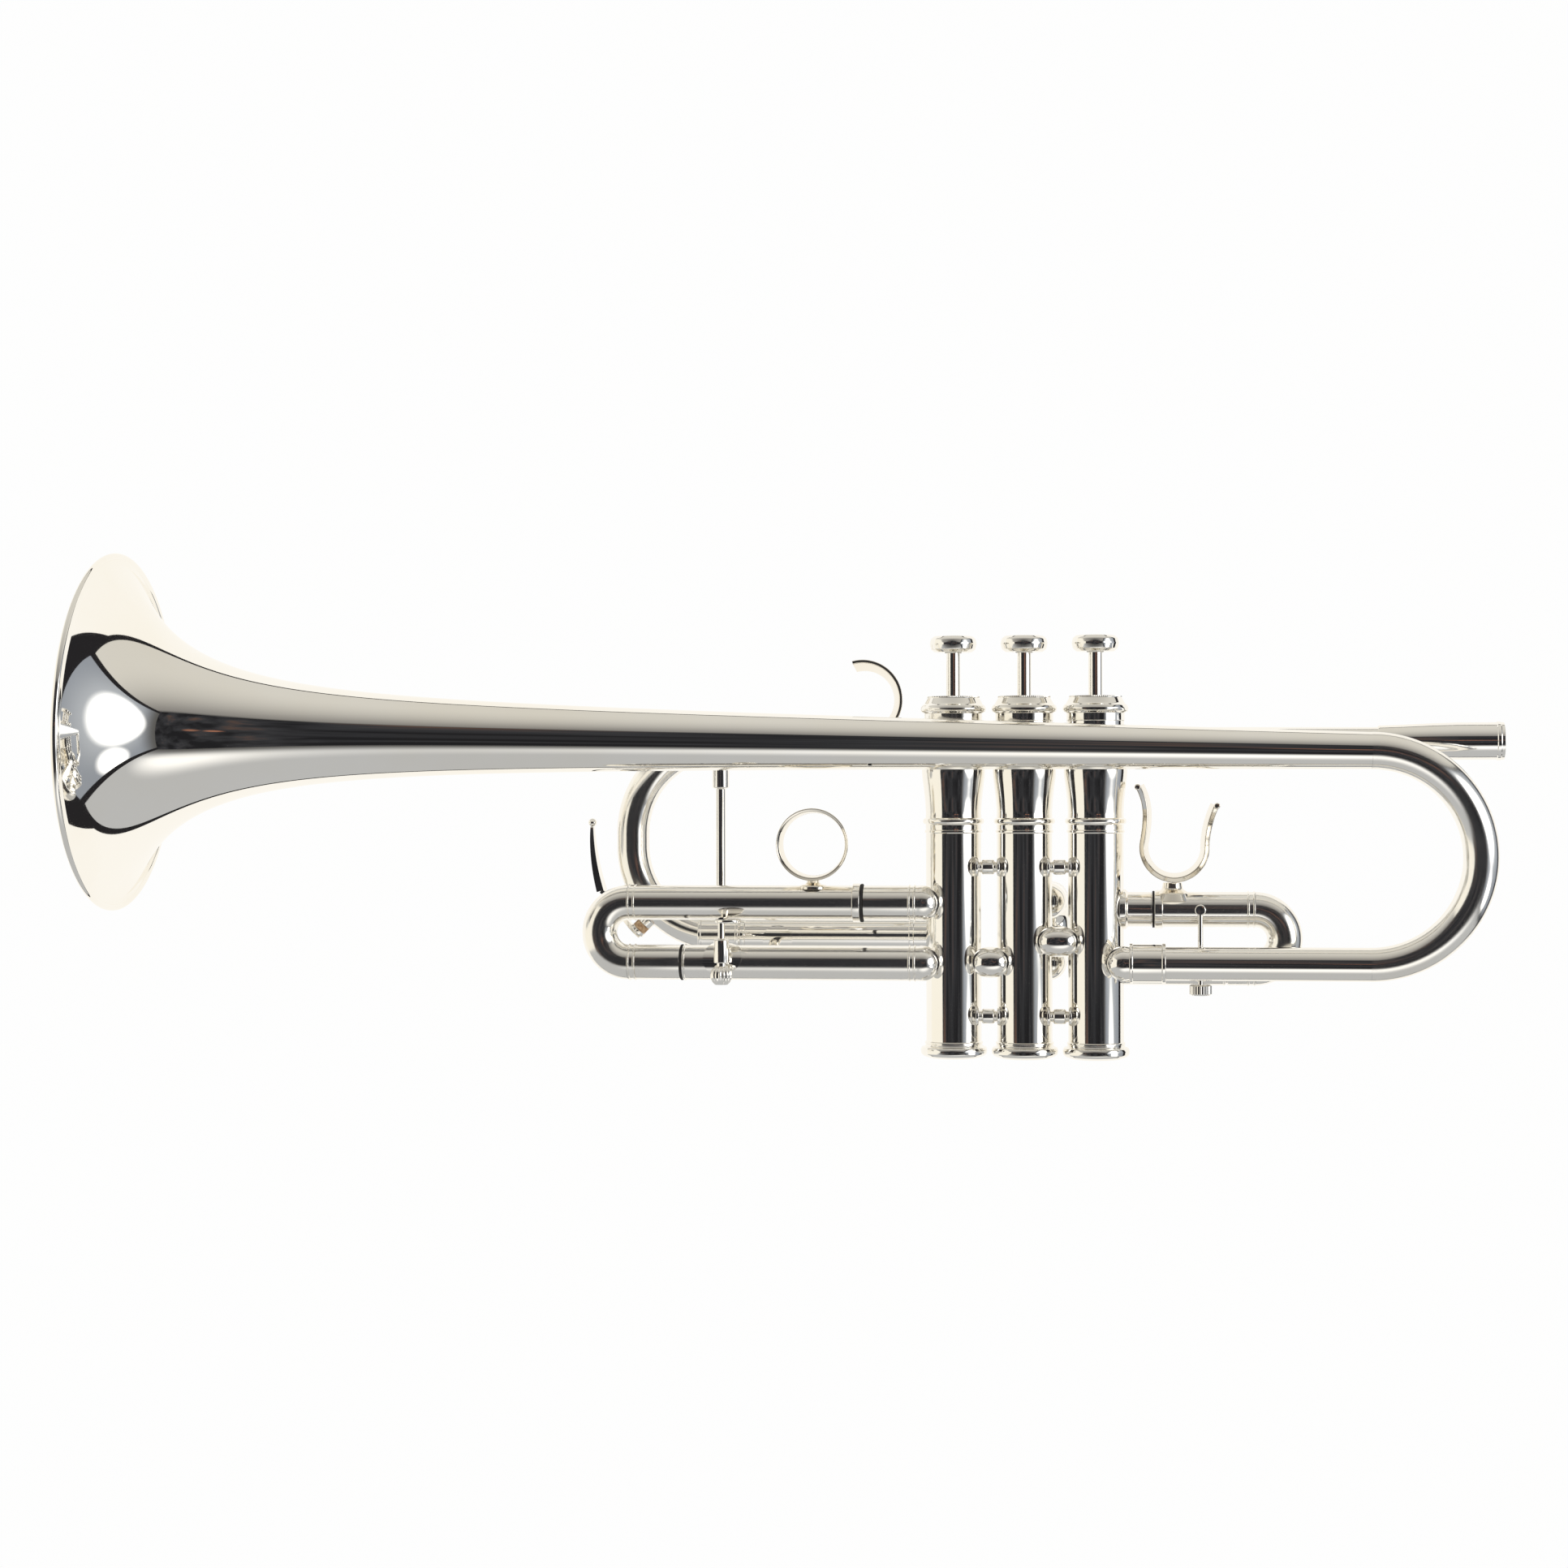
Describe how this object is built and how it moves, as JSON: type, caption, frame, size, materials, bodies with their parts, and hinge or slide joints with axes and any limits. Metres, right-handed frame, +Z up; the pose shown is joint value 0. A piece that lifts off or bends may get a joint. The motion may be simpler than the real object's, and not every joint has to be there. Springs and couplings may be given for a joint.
{
  "type": "trumpet",
  "caption": "Piston-valve trumpet in C with flared bell, three sprung valves, sliding tuning slides, finger ring, thumb saddle and water key.",
  "frame": {"origin": "on the second valve axis, at the middle of the valve casings, where the left hand holds the horn", "axes": "+X along the horn towards the mouthpiece receiver, the bell opens towards -X; +Z up along the valves to the finger buttons; +Y towards the leadpipe, the player's right"},
  "size_m": [0.4798, 0.1381, 0.1758],
  "materials": {
    "bell_silver": "polished silver plate on brass",
    "tube_silver": "polished silver plate on drawn tube",
    "turned_silver": "polished silver plate on turned brass",
    "piston_monel": "lapped monel, satin",
    "spring_steel": "drawn spring wire",
    "wire_steel": "drawn wire",
    "felt": "pressed wool felt",
    "cork": "fine natural cork",
    "guide_nylon": "moulded nylon"
  },
  "bodies": {
    "horn": {"bell": "bell_silver", "bell_rim_wire": "wire_steel", "bell_bow": "bell_silver", "bell_tail": "bell_silver", "bell_tail_ferrule": "bell_silver", "bell_tail_knuckle": "bell_silver", "leadpipe": "tube_silver", "mouthpiece_receiver": "tube_silver", "main_slide_upper_sleeve": "tube_silver", "main_slide_lower_sleeve": "tube_silver", "valve_casing_1": "tube_silver", "valve_casing_2": "tube_silver", "valve_casing_3": "tube_silver", "valve_top_caps": "turned_silver", "valve_bottom_caps": "turned_silver", "valve_guides": "guide_nylon", "valve_spring_1": "spring_steel", "valve_spring_2": "spring_steel", "valve_spring_3": "spring_steel", "crossover_tubes": "tube_silver", "casing_braces": "tube_silver", "third_slide_fixed_tube": "tube_silver", "third_slide_sleeve": "tube_silver", "first_slide_fixed_tube": "tube_silver", "first_slide_sleeve": "tube_silver", "second_slide_sleeves": "tube_silver", "pinky_hook": "tube_silver", "bell_braces": "tube_silver", "third_slide_brace": "tube_silver", "stop_plate": "tube_silver"},
    "valve_1": {"piston_1": "piston_monel", "valve_stem_1": "turned_silver", "finger_button_1": "turned_silver", "button_felt_1": "felt"},
    "valve_2": {"piston_2": "piston_monel", "valve_stem_2": "turned_silver", "finger_button_2": "turned_silver", "button_felt_2": "felt"},
    "valve_3": {"piston_3": "piston_monel", "valve_stem_3": "turned_silver", "finger_button_3": "turned_silver", "button_felt_3": "felt"},
    "main_tuning_slide": {"main_slide_bow": "tube_silver", "main_slide_legs": "tube_silver", "main_slide_brace": "tube_silver", "water_key_saddle": "tube_silver", "water_key_pin": "spring_steel", "water_key_spring": "spring_steel"},
    "water_key": {"water_key_lever": "tube_silver", "water_key_cork": "cork"},
    "third_slide": {"third_slide_bow": "tube_silver", "third_slide_tubes": "tube_silver", "third_finger_ring": "tube_silver", "third_stop_arm": "tube_silver", "third_stop_screw": "turned_silver"},
    "first_slide": {"first_slide_bow": "tube_silver", "first_slide_tubes": "tube_silver", "first_thumb_saddle": "tube_silver", "first_stop_arm": "tube_silver"},
    "second_slide": {"second_slide_bow": "tube_silver", "second_slide_tubes": "tube_silver"}
  },
  "joints": [
    {"name": "valve_1_press", "type": "slide", "parent": "horn", "child": "valve_1", "axis": [0, 0, -1], "range_m": [0, 0.014], "stiffness_N_per_m": 180, "springref_m": -0.016, "deforming": ["valve_spring_1"]},
    {"name": "valve_2_press", "type": "slide", "parent": "horn", "child": "valve_2", "axis": [0, 0, -1], "range_m": [0, 0.014], "stiffness_N_per_m": 180, "springref_m": -0.016, "deforming": ["valve_spring_2"]},
    {"name": "valve_3_press", "type": "slide", "parent": "horn", "child": "valve_3", "axis": [0, 0, -1], "range_m": [0, 0.014], "stiffness_N_per_m": 180, "springref_m": -0.016, "deforming": ["valve_spring_3"]},
    {"name": "main_slide_pull", "type": "slide", "parent": "horn", "child": "main_tuning_slide", "axis": [-1, 0, 0], "range_m": [0, 0.025]},
    {"name": "water_key_press", "type": "hinge", "parent": "main_tuning_slide", "child": "water_key", "pos_m": [-0.1476, 0.0195, -0.0086], "axis": [0, 1, 0], "range_deg": [0, 14], "stiffness_Nm_per_rad": 0.08, "springref_deg": -34.38},
    {"name": "third_slide_pull", "type": "slide", "parent": "horn", "child": "third_slide", "axis": [-1, 0, 0], "range_m": [0, 0.018]},
    {"name": "first_slide_pull", "type": "slide", "parent": "horn", "child": "first_slide", "axis": [1, 0, 0], "range_m": [0, 0.014]},
    {"name": "second_slide_pull", "type": "slide", "parent": "horn", "child": "second_slide", "axis": [0, 1, 0], "range_m": [0, 0.01]}
  ]
}
